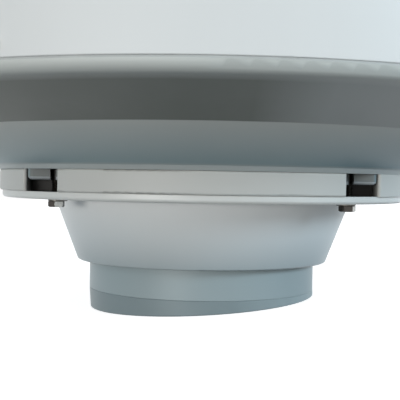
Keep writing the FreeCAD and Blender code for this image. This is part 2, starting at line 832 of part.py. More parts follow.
def make_azimuth_bearing():
    low, high = dim.hub_top + 24, dim.hub_top + 36
    turned("bearing_inner_ring", [(20, low), (25, low), (25, high), (20, high)])
    turned("bearing_outer_ring", [(33, low), (38, low), (38, high), (33, high)])
    turned("bearing_nut", [(20, high), (25, high), (25, high + 5), (20, high + 5)])
    middle = low.value + 6
    balls = [
        Part.makeSphere(
            3.9,
            Vector(28.9 * math.cos(math.radians(36 * i)), 28.9 * math.sin(math.radians(36 * i)), middle),
        )
        for i in range(10)
    ]
    fixed("bearing_balls", Part.makeCompound(balls))


def make_rotary_joint():
    """The signal passes from the fixed stator to the turning rotor on the azimuth axis."""
    top = dim.hub_top + 46
    turned("rotary_joint_stator", [(0, pan_foot - 6), (14, pan_foot - 6), (14, top), (0, top)])
    turned(
        "rotary_joint_rotor",
        [(0, top + 0.5), (9, top + 0.5), (9, top + 10), (13, top + 10), (13, top + 22), (0, top + 22)],
    )
    bridge = new_body("rotor_bridge")
    plate_top = dim.hub_top + 42
    frame = new_sketch(bridge, "XZ_Plane")
    draw(
        frame,
        [
            (-50, plate_top),
            (-38, plate_top),
            (-38, top + 6),
            (38, top + 6),
            (38, plate_top),
            (50, plate_top),
            (50, top + 10),
            (-50, top + 10),
        ],
    )
    pad(bridge, frame, 26, midplane=True)
    hole = new_sketch(bridge, "XY_Plane")
    draw_circle(hole, 0, 0, 9)
    pocket(bridge, hole)


def make_turntable():
    low, plate_low, plate_top = dim.hub_top + 20, dim.hub_top + 36, dim.hub_top + 42
    body = turned(
        "turntable",
        [
            (38, low),
            (46, low),
            (46, plate_low),
            (118, plate_low),
            (118, plate_top),
            (30, plate_top),
            (30, plate_low),
            (38, plate_low),
        ],
    )
    pinion_y = centre_distance(AZIMUTH_TEETH, AZIMUTH_PINION_TEETH, dim.gear_module)
    holes = new_sketch(body, "XY_Plane")
    draw_circle(holes, 0, pinion_y, 11)
    draw_circle(holes, -60, 62, 13)
    draw_circle(holes, 60, 62, 13)
    draw_circle(holes, 0, -79, 16)
    pocket(body, holes)


def make_azimuth_drive():
    pinion_y = centre_distance(AZIMUTH_TEETH, AZIMUTH_PINION_TEETH, dim.gear_module)
    plate_top = dim.hub_top.value + 42
    motor = new_body("azimuth_motor")
    case = new_sketch(motor, "XY_Plane", size(plate_top))
    draw(case, motor_outline(0, pinion_y))
    pad(motor, case, 40)
    boss = new_sketch(motor, "XY_Plane", size(plate_top - 4))
    draw_circle(boss, 0, pinion_y, 11)
    pad(motor, boss, 4)
    pinion = gear_shape(AZIMUTH_PINION_TEETH, dim.gear_module, GEAR_WIDTH, 2.5)
    sleeve = Part.makeCylinder(7, 8, Vector(0, 0, GEAR_WIDTH))
    shaft = Part.makeCylinder(2.5, plate_top - 4.4 - GEAR_LOW, Vector(0, 0, 0))
    turn = FreeCAD.Rotation(Vector(0, 0, 1), 270 + 180 / AZIMUTH_PINION_TEETH)
    place = FreeCAD.Placement(Vector(0, pinion_y, GEAR_LOW), turn)
    fixed("azimuth_pinion", pinion.fuse([sleeve, shaft]).removeSplitter(), place)


def motor_outline(x, y, half=21.0, cut=4.0):
    """A square motor case with its four corners cut off."""
    points = []
    for sx, sy in ((1, -1), (1, 1), (-1, 1), (-1, -1)):
        a = (x + half * sx, y + (half - cut) * sy)
        b = (x + (half - cut) * sx, y + half * sy)
        points += [a, b] if sx == sy else [b, a]
    return [(size(px), size(py)) for px, py in points]


# ---------------------------------------------------------------- yoke and elevation drive
def make_yoke():
    plate_top = dim.hub_top + 42
    pivot = dim.pivot_height
    drive_drop = centre_distance(ELEVATION_TEETH, ELEVATION_PINION_TEETH, dim.gear_module)
    for label, side in (("left_arm", -1), ("right_arm", 1)):
        body = new_body(label)
        inner = dim.arm_offset - dim.arm_thickness / 2
        start = inner if side > 0 else -(inner + dim.arm_thickness)
        face = new_sketch(body, "YZ_Plane", start)
        draw(
            face,
            [
                (-44, plate_top),
                (44, plate_top),
                (44, plate_top + 18),
                (20.6, pivot + 4),
                (-20.6, pivot + 4),
                (-44, plate_top + 18),
            ],
            {3: (size(21.0), 1)},
        )
        pad(body, face, dim.arm_thickness)
        foot = new_sketch(body, "YZ_Plane", inner - 12 if side > 0 else -(inner + 0))
        draw_box(foot, -44, plate_top, 44, plate_top + 6)
        pad(body, foot, 12)
        holes = new_sketch(body, "YZ_Plane")
        draw_circle(holes, 0, pivot, 12)
        draw_circle(holes, 0, pivot - drive_drop, 9)
        draw_circle(holes, 0, plate_top + 42, 14)
        draw_circle(holes, 0, plate_top + 112, 11)
        pocket(body, holes)
    bar = new_body("yoke_crossbar")
    section = new_sketch(bar, "YZ_Plane", -(dim.arm_offset - dim.arm_thickness / 2))
    draw_box(section, 4, plate_top + 72, 24, plate_top + 92)
    draw_box(section, 6.5, plate_top + 74.5, 21.5, plate_top + 89.5)
    pad(bar, section, dim.arm_offset * 2 - dim.arm_thickness)


def make_pivot_bushes():
    body = new_body("pivot_bushes")
    inner = dim.arm_offset - dim.arm_thickness / 2 - 1
    for start in (inner, -(inner + dim.arm_thickness + 2)):
        ring = new_sketch(body, "YZ_Plane", start)
        draw_circle(ring, 0, dim.pivot_height, 12)
        draw_circle(ring, 0, dim.pivot_height, 8.05)
        pad(body, ring, dim.arm_thickness + 2)


def facing_down():
    """Turns a gear so that its axis lies along +X and its first tooth points down."""
    return FreeCAD.Rotation(Vector(0, 0, -1), Vector(0, 1, 0), Vector(1, 0, 0), "XYZ")


def make_elevation_drive():
    drop = centre_distance(ELEVATION_TEETH, ELEVATION_PINION_TEETH, dim.gear_module)
    height = dim.pivot_height.value - drop
    outer = dim.arm_offset + dim.arm_thickness / 2
    motor = new_body("elevation_motor")
    case = new_sketch(motor, "YZ_Plane", outer)
    draw(case, motor_outline(0, height))
    pad(motor, case, 36)
    boss = new_sketch(motor, "YZ_Plane", outer - 4)
    draw_circle(boss, 0, height, 9)
    pad(motor, boss, 4)
    pinion = gear_shape(ELEVATION_PINION_TEETH, dim.gear_module, GEAR_WIDTH - 2, 2.5)
    shaft = Part.makeCylinder(2.5, outer.value - 4.4 - SECTOR_START, Vector(0, 0, 0))
    sleeve = Part.makeCylinder(6, 4, Vector(0, 0, GEAR_WIDTH - 2))
    spin = FreeCAD.Rotation(Vector(0, 0, 1), 180 / ELEVATION_PINION_TEETH)
    place = FreeCAD.Placement(Vector(SECTOR_START, 0, height), facing_down() * spin)
    fixed("elevation_pinion", pinion.fuse([sleeve, shaft]).removeSplitter(), place)


SECTOR_START = 82.0


# ---------------------------------------------------------------- control board
def make_control_board():
    plate_top = dim.hub_top + 42
    rods = new_body("board_standoffs")
    board = new_body("control_board")
    can = new_body("shield_can")
    outline = new_sketch(board, "XY_Plane", plate_top + 10)
    draw_box(outline, -64, -104, 64, -54)
    corners = [(sx * 58, -79 + sy * 20) for sx in (-1, 1) for sy in (-1, 1)]
    feet = new_sketch(rods, "XY_Plane", plate_top)
    for x, y in corners:
        draw_circle(feet, x, y, 3)
    pad(rods, feet, 10)
    pad(board, outline, 1.6)
    lid = new_sketch(can, "XY_Plane", plate_top + 11.6)
    draw_box(lid, -34, -98, 10, -60)
    pad(can, lid, 9)
    for low_x, high_x in ((16, 30), (34, 48)):
        chip = new_sketch(board, "XY_Plane", plate_top + 11.6)
        draw_box(chip, low_x, -90, high_x, -70)
        pad(board, chip, 3)


# ---------------------------------------------------------------- dish, in its own frame
# The dish's frame has its origin on the elevation axis, +Z along the beam and X along the axis.
BRACKET_LOW, BRACKET_TOP = 8.5, 14.5


def dish_placement():
    tilt = FreeCAD.Rotation(Vector(1, 0, 0), 90 - dim.rest_elevation.value)
    return FreeCAD.Placement(Vector(0, 0, dim.pivot_height.value), tilt)


def on_dish(item):
    item.Placement = dish_placement().multiply(item.Placement)
    return item


def paraboloid_depth(radius):
    return radius * radius / (4 * dim.focal_length.value)


def make_reflector():
    """A paraboloid shell with a rolled rim and a middle hole for the feed tube."""
    wall, rim, hole = dim.reflector_wall.value, dim.reflector_radius.value, 16.0
    vertex = dim.vertex_offset.value
    steps = 8
    radii = [hole + (rim - hole) * i / steps for i in range(steps + 1)]
    front = Part.BSplineCurve()
    front.interpolate([Vector(r, 0, vertex + paraboloid_depth(r)) for r in radii])
    back = Part.BSplineCurve()
    back.interpolate([Vector(r, 0, vertex + paraboloid_depth(r) - wall) for r in radii])
    front_start, front_end = front.value(front.FirstParameter), front.value(front.LastParameter)
    back_start, back_end = back.value(back.FirstParameter), back.value(back.LastParameter)
    wire = Part.Wire(
        [
            front.toShape(),
            Part.makeLine(front_end, front_end + Vector(5, 0, 0)),
            Part.makeLine(front_end + Vector(5, 0, 0), back_end + Vector(5, 0, -4)),
            Part.makeLine(back_end + Vector(5, 0, -4), back_end + Vector(3, 0, -4)),
            Part.makeLine(back_end + Vector(3, 0, -4), back_end + Vector(3, 0, 0)),
            Part.makeLine(back_end + Vector(3, 0, 0), back_end),
            back.toShape(),
            Part.makeLine(back_start, front_start),
        ]
    )
    on_dish(fixed("reflector", Part.Face(wire).revolve(Vector(0, 0, 0), Vector(0, 0, 1), 360)))


def make_dish_hub():
    seat = dim.vertex_offset - dim.reflector_wall
    touch = size(40)
    slope = touch / (2 * dim.focal_length)
    face = seat + touch * touch / (4 * dim.focal_length) - slope * touch
    on_dish(
        turned(
            "dish_hub",
            [
                (13, -8),
                (13, seat),
                (22, face + 22 * slope),
                (60, face + 60 * slope),
                (60, seat),
                (56, BRACKET_TOP),
                (24, BRACKET_TOP),
                (24, -26),
                (12.1, -26),
                (12.1, -8),
            ],
        )
    )


def make_dish_bracket():
    body = new_body("dish_bracket")
    plate = new_sketch(body, "XY_Plane", size(BRACKET_LOW))
    draw_box(plate, -SECTOR_START, -46, SECTOR_START, 60)
    pad(body, plate, BRACKET_TOP - BRACKET_LOW)
    for start in (-SECTOR_START, SECTOR_START - 8):
        ear = new_sketch(body, "YZ_Plane", size(start))
        corners = [(16, BRACKET_TOP), (-16, BRACKET_TOP), (-15.5, -4), (15.5, -4)]
        draw(ear, corners, {2: (size(16.0), 1)})
        pad(body, ear, 8)
    hole = new_sketch(body, "XY_Plane")
    draw_circle(hole, 0, 0, 24)
    pocket(body, hole)
    bores = new_sketch(body, "YZ_Plane")
    draw_circle(bores, 0, 0, 8)
    pocket(body, bores)
    on_dish(body)


def make_pivot_shafts():
    body = new_body("pivot_shafts")
    for start in (70, -102):
        rod = new_sketch(body, "YZ_Plane", size(start))
        draw_circle(rod, 0, 0, 8)
        pad(body, rod, 32)
    on_dish(body)


def make_elevation_sector():
    shape = sector_shape(ELEVATION_TEETH, dim.gear_module, GEAR_WIDTH - 2, -8, 8, 8)
    place = FreeCAD.Placement(Vector(SECTOR_START, 0, dim.pivot_height.value), facing_down())
    fixed("elevation_sector", shape, place)


def make_feed():
    hub_seat = -8
    on_dish(
        turned(
            "feed_tube",
            [(11, hub_seat), (13, hub_seat), (13, 150), (24, 176), (22, 176), (11, 150)],
        )
    )
    on_dish(turned("feed_lens", [(0, 162), (16, 162), (22, 176), (34, 190), (0, 190)]))
    on_dish(turned("subreflector", [(0, 190), (40, 190), (40, 193), (14, 200), (0, 200)]))


def make_counterweights():
    body = new_body("counterweights")
    for low_x, high_x in ((-72, -46), (46, 72)):
        block = new_sketch(body, "XY_Plane", size(-20))
        draw_box(block, low_x, -44, high_x, -20)
        pad(body, block, BRACKET_LOW + 20)
    on_dish(body)


def make_gyro_box():
    body = new_body("gyro_box")
    case = new_sketch(body, "XY_Plane", size(-16))
    draw_box(case, -70, 26, -28, 56)
    pad(body, case, BRACKET_LOW + 16)
    on_dish(body)


# ---------------------------------------------------------------- polarisation drive
def make_lnb():
    """The low-noise block turns in the hub's boss to match the signal's polarisation."""
    body = turned("lnb", [(0, -10), (12, -10), (12, -27), (20, -27), (20, -30), (14, -30), (14, -38), (0, -38)])
    case = new_sketch(body, "XY_Plane", size(-92))
    draw(case, [(-22, -28), (22, -28), (27, -20), (27, 24), (18, 30), (-18, 30), (-27, 24), (-27, -20)])
    pad(body, case, 54)
    fins = new_sketch(body, "XY_Plane", size(-96))
    for i in range(5):
        draw_box(fins, -20 + 9 * i, -24, -16 + 9 * i, 24)
    pad(body, fins, 4)
    on_dish(body)
    gear = gear_shape(SKEW_TEETH, dim.skew_module, 6, 14)
    facing = FreeCAD.Rotation(Vector(0, 0, 1), 90)
    on_dish(fixed("skew_gear", gear, FreeCAD.Placement(Vector(0, 0, -36), facing)))


def make_skew_drive():
    reach = centre_distance(SKEW_TEETH, SKEW_PINION_TEETH, dim.skew_module)
    body = new_body("skew_motor")
    case = new_sketch(body, "XY_Plane", size(-24))
    draw_circle(case, 0, reach, 12)
    pad(body, case, BRACKET_LOW + 24)
    on_dish(body)
    pinion = gear_shape(SKEW_PINION_TEETH, dim.skew_module, 6, 1.5)
    pinion = pinion.fuse(Part.makeCylinder(1.5, 11.5))
    turn = FreeCAD.Rotation(Vector(0, 0, 1), 270 + 180 / SKEW_PINION_TEETH)
    place = FreeCAD.Placement(Vector(0, reach, -36), turn)
    on_dish(fixed("skew_pinion", pinion.removeSplitter(), place))


# ---------------------------------------------------------------- build and write
for make in (
    make_deck_wedge,
    make_pedestal_collar,
    make_pedestal_bowl,
    make_pedestal_lip,
    make_neck_screws,
    make_spacer_ring,
    make_dome_bolts,
    make_stud_bushes,
    make_base_pan,
    make_threaded_inserts,
    make_radome,
    make_dome_seal,
    make_radome_screws,
    make_ports,
    make_azimuth_post,
    make_azimuth_gear,
    make_azimuth_bearing,
    make_rotary_joint,
    make_turntable,
    make_azimuth_drive,
    make_yoke,
    make_pivot_bushes,
    make_elevation_drive,
    make_control_board,
    make_reflector,
    make_dish_hub,
    make_dish_bracket,
    make_pivot_shafts,
    make_elevation_sector,
    make_feed,
    make_counterweights,
    make_gyro_box,
    make_lnb,
    make_skew_drive,
):
    make()

doc.recompute()
for item in doc.Objects:
    if "Invalid" in item.State or "Error" in item.State:
        raise RuntimeError(f"{item.Label} ({item.Name}) failed: {item.State}")
os.makedirs("parts", exist_ok=True)
for part in parts:
    shape = part.Shape
    if shape.isNull() or not shape.isValid():
        raise RuntimeError(f"{part.Label} has no valid shape")
    shape.exportStep(f"parts/{part.Label}.step")
    print(part.Label, len(shape.Solids), round(shape.Volume / 1000, 2))
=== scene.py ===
import json
import math

import bmesh
import bpy
from mathutils import Matrix, Vector


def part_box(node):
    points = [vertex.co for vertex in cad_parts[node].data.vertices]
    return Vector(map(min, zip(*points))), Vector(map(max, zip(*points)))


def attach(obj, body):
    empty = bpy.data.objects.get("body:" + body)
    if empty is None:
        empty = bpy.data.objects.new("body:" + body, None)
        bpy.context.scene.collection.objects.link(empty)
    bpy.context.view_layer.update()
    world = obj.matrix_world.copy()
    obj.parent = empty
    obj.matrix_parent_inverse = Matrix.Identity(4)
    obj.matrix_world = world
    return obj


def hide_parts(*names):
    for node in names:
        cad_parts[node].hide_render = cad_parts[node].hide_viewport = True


# Looks for the marine dome antenna. Everything is in metres, in the CAD's own frame: +Z up along
# the dome's axis, -Y to the front, the origin on that axis and level with the wedge's lowest point.

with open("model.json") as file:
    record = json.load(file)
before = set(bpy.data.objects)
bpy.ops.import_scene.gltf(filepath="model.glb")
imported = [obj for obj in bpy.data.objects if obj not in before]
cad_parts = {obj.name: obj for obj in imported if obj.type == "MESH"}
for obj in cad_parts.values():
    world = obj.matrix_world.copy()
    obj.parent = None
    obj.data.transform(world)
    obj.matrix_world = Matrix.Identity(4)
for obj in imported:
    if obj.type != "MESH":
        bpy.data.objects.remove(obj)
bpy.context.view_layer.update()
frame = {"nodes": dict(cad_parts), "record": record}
nodes = frame["nodes"]

DECK_SLOPE = math.radians(3.75)
CAMERA_PLACE = Vector((0.0044, -0.838, 0.128))
CAMERA_YAW = math.radians(0.465)
CAMERA_ROLL = math.radians(0.95)
CAMERA_PITCH = math.radians(-1.34)
FIELD_OF_VIEW = math.radians(27.6)


# ---------------------------------------------------------------- node trees
class Graph:
    """A node tree, with short calls for the nodes used here. A value is a number, a colour or
    another node's output."""

    # A Mix node's two inputs and its output, by number: those of all types share their names.
    mix_sockets = {"RGBA": (6, 7, 2), "FLOAT": (2, 3, 0)}

    def __init__(self, tree):
        self.tree = tree

    def add(self, kind, **settings):
        node = self.tree.nodes.new(kind)
        for name, value in settings.items():
            setattr(node, name, value)
        return node

    def link(self, start, stop):
        self.tree.links.new(start, stop)

    def fill(self, socket, value):
        if isinstance(value, tuple):
            socket.default_value = (*value, 1)
        elif isinstance(value, (int, float)):
            socket.default_value = value
        else:
            self.link(value, socket)

    def split(self, vector):
        node = self.add("ShaderNodeSeparateXYZ")
        self.link(vector, node.inputs[0])
        return node.outputs

    def spread(self, source, low, high, from_low=0.3, from_high=0.7):
        """Maps from_low to low and from_high to high, and stays level beyond them."""
        node = self.add("ShaderNodeMapRange")
        node.inputs["From Min"].default_value = from_low
        node.inputs["From Max"].default_value = from_high
        node.inputs["To Min"].default_value = low
        node.inputs["To Max"].default_value = high
        self.link(source, node.inputs["Value"])
        return node.outputs["Result"]

    def mix(self, factor, first, second, data="RGBA"):
        """first where the factor is 0, and second where it is 1."""
        node = self.add("ShaderNodeMix", data_type=data)
        first_input, second_input, output = self.mix_sockets[data]
        self.link(factor, node.inputs["Factor"])
        self.fill(node.inputs[first_input], first)
        self.fill(node.inputs[second_input], second)
        return node.outputs[output]

    def calculate(self, operation, *values):
        node = self.add("ShaderNodeMath", operation=operation)
        for socket, value in zip(node.inputs, values):
            self.fill(socket, value)
        return node.outputs[0]

    def product(self, first, *rest):
        for factor in rest:
            first = self.calculate("MULTIPLY", first, factor)
        return first


class Finish(Graph):
    """A material under construction."""

    def __init__(self, name):
        self.material = bpy.data.materials.new(name)
        self.material.use_nodes = True
        super().__init__(self.material.node_tree)
        self.shader = self.tree.nodes["Principled BSDF"]
        self.coordinates = self.add("ShaderNodeTexCoord").outputs
        self.place = self.coordinates["Object"]

    def set(self, name, value):
        self.fill(self.shader.inputs[name], value)

    def noise(self, scale, detail, stretch=(1, 1, 1)):
        """Noise over the object's own coordinates, in cycles per metre."""
        mapping = self.add("ShaderNodeMapping")
        mapping.inputs["Scale"].default_value = stretch
        self.link(self.place, mapping.inputs["Vector"])
        texture = self.add("ShaderNodeTexNoise")
        texture.inputs["Scale"].default_value = scale
        texture.inputs["Detail"].default_value = detail
        self.link(mapping.outputs["Vector"], texture.inputs["Vector"])
        return texture.outputs["Fac"]

    def along(self, axis):
        """The point's own X, Y or Z."""
        return self.split(self.place)[axis]

    def facing(self):
        """1 where the surface looks up, and -1 where it looks down."""
        return self.split(self.coordinates["Normal"])["Z"]

    def radius(self):
        """Distance from the dome's axis."""
        flat = self.add("ShaderNodeVectorMath", operation="MULTIPLY")
        flat.inputs[1].default_value = (1, 1, 0)
        self.link(self.place, flat.inputs[0])
        length = self.add("ShaderNodeVectorMath", operation="LENGTH")
        self.link(flat.outputs["Vector"], length.inputs[0])
        return length.outputs["Value"]

    def painted_shading_along_x(self, colour):
        """A colour as it is, or (colour, start, stop, other): colour turns to other from start to
        stop along X, as painted light and shade, lighter or darker towards one side as the light
        falls."""
        if len(colour) == 3:
            return colour
        first, start, stop, other = colour
        return self.mix(self.spread(self.along("X"), 0.0, 1.0, start, stop), first, other)

    def bump(self, height, strength, distance, rounding=0.0):
        """Fine relief. rounding is the radius by which sharp edges look softened."""
        node = self.add("ShaderNodeBump")
        node.inputs["Strength"].default_value = strength
        node.inputs["Distance"].default_value = distance
        self.link(height, node.inputs["Height"])
        if rounding:
            edge = self.add("ShaderNodeBevel", samples=6)
            edge.inputs["Radius"].default_value = rounding
            self.link(edge.outputs["Normal"], node.inputs["Normal"])
        self.link(node.outputs["Normal"], self.shader.inputs["Normal"])


def shade(colour, factor):
    return tuple(min(1.0, channel * factor) for channel in colour)


# ---------------------------------------------------------------- finishes
def gelcoat(name, colour, roughness, dirt, specular=0.4, rounding=0.0006, foot=None, zones=(),
            outside_only=False):
    """Glossy moulded skin: faint mottling, soft rain streaks and orange peel.
    foot is (low, high, colour): the skin turns to that colour below those heights, as painted shade
    that darkens it towards the bottom.
    zones are (inner, outer, low, high, fade, colour): the skin has that colour between those
    radii and heights, and fades out over that much of its outer side. With outside_only, faces
    that look up keep the plain colour. Each colour may be one that varies along X."""
    work = Finish(name)
    if len(colour) == 3:
        plain = colour
        mottle = work.spread(work.noise(6.0, 1.0), 0.0, 1.0, 0.2, 0.8)
        base = work.mix(mottle, colour, shade(colour, 0.97))
    else:
        plain = colour[0]
        base = work.painted_shading_along_x(colour)
    if foot:
        low, high, foot_shade = foot
        base = work.mix(work.spread(work.along("Z"), 1.0, 0.0, low, high), base, work.painted_shading_along_x(foot_shade))
    for inner, outer, low, high, fade, tone in zones:
        radius, height = work.radius(), work.along("Z")
        within = work.product(
            work.spread(radius, 0.0, 1.0, inner, inner + 0.001),
            work.spread(radius, 1.0, 0.0, outer - fade, outer),
            work.spread(height, 0.0, 1.0, low, low + 0.0003),
            work.spread(height, 1.0, 0.0, high - 0.0003, high),
        )
        if outside_only:
            within = work.product(within, work.spread(work.facing(), 1.0, 0.0, 0.3, 0.5))
        base = work.mix(within, base, work.painted_shading_along_x(tone))
    streaks = work.spread(work.noise(45.0, 2.0, (1, 1, 0.05)), 0.0, dirt, 0.45, 0.85)
    work.set("Base Color", work.mix(streaks, base, shade(plain, 0.7)))
    gloss = work.noise(14.0, 1.0)
    work.set("Roughness", work.spread(gloss, roughness - 0.03, roughness + 0.05, 0.2, 0.8))
    work.set("Specular IOR Level", specular)
    work.bump(work.noise(700.0, 2.0), 0.05, 0.0003, rounding)
    return work.material


def metal(name, colour, roughness, brushed=(1, 1, 1), top=None):
    """Bare metal with fine marks, stretched along the brushing where it has one.
    top is (height, colour): the metal is that colour above that height."""
    work = Finish(name)
    marks = work.noise(420.0, 6.0, brushed)
    base = work.mix(work.spread(marks, 0, 1), colour, shade(colour, 0.82))
    if top:
        height, tone = top
        base = work.mix(work.spread(work.along("Z"), 0.0, 1.0, height, height + 0.0005), base, tone)
    work.set("Base Color", base)
    work.set("Metallic", 1.0)
    work.set("Roughness", work.spread(marks, roughness - 0.08, roughness + 0.14))
    work.bump(marks, 0.12, 0.0002, 0.0004)
    return work.material


def plastic(name, colour, roughness, grain=1400.0, strength=0.15):
    """Moulded plastic, rubber or thick paint with a fine grain."""
    work = Finish(name)
    tone = work.spread(work.noise(40.0, 5.0), 0, 1)
    work.set("Base Color", work.mix(tone, colour, shade(colour, 0.86)))
    gloss = work.noise(90.0, 5.0)
    work.set("Roughness", work.spread(gloss, roughness - 0.08, roughness + 0.1))
    work.bump(work.noise(grain, 3.0), strength, 0.0003, 0.0004)
    return work.material


def circuit(name, colour):
    """Solder-masked board with faint copper tracks under the mask."""
    work = Finish(name)
    pattern = work.add("ShaderNodeTexBrick")
    pattern.inputs["Scale"].default_value = 90.0
    pattern.inputs["Mortar Size"].default_value = 0.03
    work.link(work.place, pattern.inputs["Vector"])
    tracks = pattern.outputs["Fac"]
    work.set("Base Color", work.mix(tracks, colour, shade(colour, 1.6)))
    work.set("Roughness", 0.35)
    work.bump(tracks, 0.2, 0.0002)
    return work.material


AXIS = -0.001  # the inner radius of a zone that takes in the dome's axis
LOW, HIGH = 0.0, 1.0  # the heights of a zone that takes in the whole piece
BOWL_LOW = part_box("pedestal_bowl")[0].z
LIP_LOW, LIP_TOP = (corner.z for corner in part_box("pedestal_lip"))
BEVEL_LOW, BEVEL_HIGH = LIP_TOP + 0.024, LIP_TOP + 0.053
LUG_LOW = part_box("base_pan")[0].z
BEVEL_RADIUS = 0.264
RIM_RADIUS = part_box("base_pan")[1].x - 0.004
SPACER_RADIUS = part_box("spacer_ring")[1].x

# Painted shade: the pan's underside is painted dark where it lies in shade, and painted lighter
# towards +X as light falling from that side.
UNDERSIDE_PAINTED_SHADE = ((0.125, 0.135, 0.118), 0.035, 0.088, (0.37, 0.385, 0.372))
# Painted shade: the bevel is painted darker and bluer towards its foot and towards +X.
BEVEL_FOOT_PAINTED_SHADE = ((0.29, 0.385, 0.405), 0.065, 0.165, (0.13, 0.235, 0.275))
# Painted light: the wedge is painted lighter towards +X, as light falling from that side.
WEDGE_PAINTED_LIGHT = ((0.205, 0.25, 0.26), 0.03, 0.10, (0.30, 0.355, 0.365))
# Painted shade: near-black inside the spacer and the lip, where the bolt windows lie in shade.
RECESS_PAINTED_SHADE = (0.012, 0.010, 0.008)
# Painted shade: the lugs inside the bolt windows are painted dark.
LUG_PAINTED_SHADE = (0.17, 0.18, 0.175)
# Painted highlight: a lighter band along the lugs' lower edges.
LUG_EDGE_PAINTED_HIGHLIGHT = (0.36, 0.38, 0.39)
# Painted shade: the pan's foot band over the spacer is painted darker.
PAN_FOOT_PAINTED_SHADE = (0.44, 0.465, 0.455)
PAN = (0.54, 0.55, 0.52)
SPACER = (0.55, 0.54, 0.51)
LIP = (0.66, 0.655, 0.625)
# Painted light and shade: the bowl is painted lighter at its top, in the lip's shade, and darker
# towards its foot.
BOWL_TOP_PAINTED_LIGHT = (0.90, 0.895, 0.875)
BOWL_FOOT_PAINTED_SHADE = (0.36, 0.405, 0.415)
# Painted highlight: one flat of each bolt head takes this bright colour as a glint.
GLINT_PAINTED_COLOUR = (0.38, 0.38, 0.36)
DULL = (0.07, 0.063, 0.057)
# Painted shade: the bolts' threads, standing in the dark windows, are painted near-black.
THREAD_PAINTED_SHADE = (0.02, 0.018, 0.015)

# The pan's zones: painted shade on the lugs, a painted highlight on their lower edges, painted
# shade on the foot band and on the underside.
pan_zones = (
    (AXIS, SPACER_RADIUS - 0.002, LOW, HIGH, 0.001, LUG_PAINTED_SHADE),
    (AXIS, SPACER_RADIUS - 0.002, LOW, LUG_LOW + 0.0028, 0.001, LUG_EDGE_PAINTED_HIGHLIGHT),
    (SPACER_RADIUS - 0.002, SPACER_RADIUS + 0.008, LOW, HIGH, 0.005, PAN_FOOT_PAINTED_SHADE),
    (BEVEL_RADIUS, RIM_RADIUS, LOW, HIGH, 0.012, UNDERSIDE_PAINTED_SHADE),
)
# Painted shade inside the spacer and the lip, behind the bolt windows.
spacer_painted_shade = (AXIS, SPACER_RADIUS - 0.004, LOW, HIGH, 0.012, RECESS_PAINTED_SHADE)
lip_painted_shade = (AXIS, SPACER_RADIUS - 0.006, LIP_TOP - 0.0005, HIGH, 0.004, RECESS_PAINTED_SHADE)

finishes = {
    "radome_white": gelcoat("radome_gelcoat", (0.70, 0.70, 0.685), 0.42, 0.04, 0.2, 0.0),
    "pan_white": gelcoat("pan_gelcoat", PAN, 0.46, 0.04, 0.25, 0.0002, zones=pan_zones,
                         foot=(BEVEL_LOW, BEVEL_HIGH, BEVEL_FOOT_PAINTED_SHADE), outside_only=True),
    "spacer_white": gelcoat("spacer_paint", SPACER, 0.42, 0.04, 0.2, 0.0002, zones=[spacer_painted_shade]),
    "lip_white": gelcoat("lip_paint", LIP, 0.33, 0.04, rounding=0.0003, zones=[lip_painted_shade]),
    "pedestal_white": gelcoat("bowl_paint", BOWL_TOP_PAINTED_LIGHT, 0.33, 0.05,
                              foot=(BOWL_LOW, LIP_LOW, BOWL_FOOT_PAINTED_SHADE)),
    "collar_grey": gelcoat("collar_paint", (0.305, 0.36, 0.37), 0.38, 0.05, 0.3),
    "wedge_grey": gelcoat("wedge_paint", WEDGE_PAINTED_LIGHT, 0.40, 0.08, 0.3),
    "dish_paint": gelcoat("dish_paint", (0.84, 0.85, 0.85), 0.42, 0.02),
    "stainless": metal("stainless_steel", (0.60, 0.58, 0.55), 0.30),
    "dark_steel": metal("dark_steel", (0.10, 0.095, 0.085), 0.30),
    "gear_steel": metal("gear_steel", (0.46, 0.46, 0.47), 0.30),
    "chrome": metal("bearing_steel", (0.78, 0.78, 0.79), 0.10),
    "tin": metal("tinned_steel", (0.70, 0.71, 0.71), 0.28, (1, 0.05, 1)),
    "brass": metal("machined_brass", (0.72, 0.55, 0.27), 0.25),
    "bronze": metal("sintered_bronze", (0.55, 0.37, 0.20), 0.42),
    "nickel": metal("nickel_plate", (0.66, 0.64, 0.58), 0.20),
    "cast_aluminium": metal("cast_aluminium", (0.62, 0.63, 0.64), 0.48),
    "sheet_aluminium": metal("sheet_aluminium", (0.74, 0.75, 0.76), 0.30, (1, 1, 0.05)),
    "seal_grey": plastic("seal_grey", (0.45, 0.46, 0.45), 0.6, 900.0, 0.2),
    "screw_white": plastic("white_nylon", (0.78, 0.78, 0.77), 0.4, 900.0, 0.05),
    "black_rubber": plastic("black_rubber", (0.018, 0.018, 0.02), 0.62, 900.0, 0.3),
    "black_plastic": plastic("black_plastic", (0.03, 0.03, 0.033), 0.45),
    "black_metal": plastic("motor_paint", (0.035, 0.035, 0.04), 0.38, 700.0, 0.1),
    "feed_plastic": plastic("feed_plastic", (0.84, 0.82, 0.74), 0.35, 1600.0, 0.05),
    "cast_iron": plastic("painted_iron", (0.13, 0.13, 0.135), 0.5, 260.0, 0.5),
    "lnb_grey": plastic("grey_casting", (0.42, 0.44, 0.45), 0.42, 300.0, 0.2),
    "board_green": circuit("circuit_board", (0.02, 0.16, 0.07)),
}
finish_of = {part["node"]: part["material_slot"] for part in frame["record"]["subparts"]}
finish_of.update(
    spacer_ring="spacer_white",
    pedestal_lip="lip_white",
    pedestal_collar="collar_grey",
    dome_seal="seal_grey",
    bolt_washers="dark_steel",
)
for name, node in nodes.items():
    for entry in node.material_slots:
        entry.material = finishes[finish_of[name]]


# ---------------------------------------------------------------- bolts
FLATS = 0.013  # M8 across flats
BOLT_SEGMENTS = 72
FLAT_SEGMENTS = BOLT_SEGMENTS // 6
HEAD_LEVELS = range(2, 9)  # the rings of a head's chamfer and flats


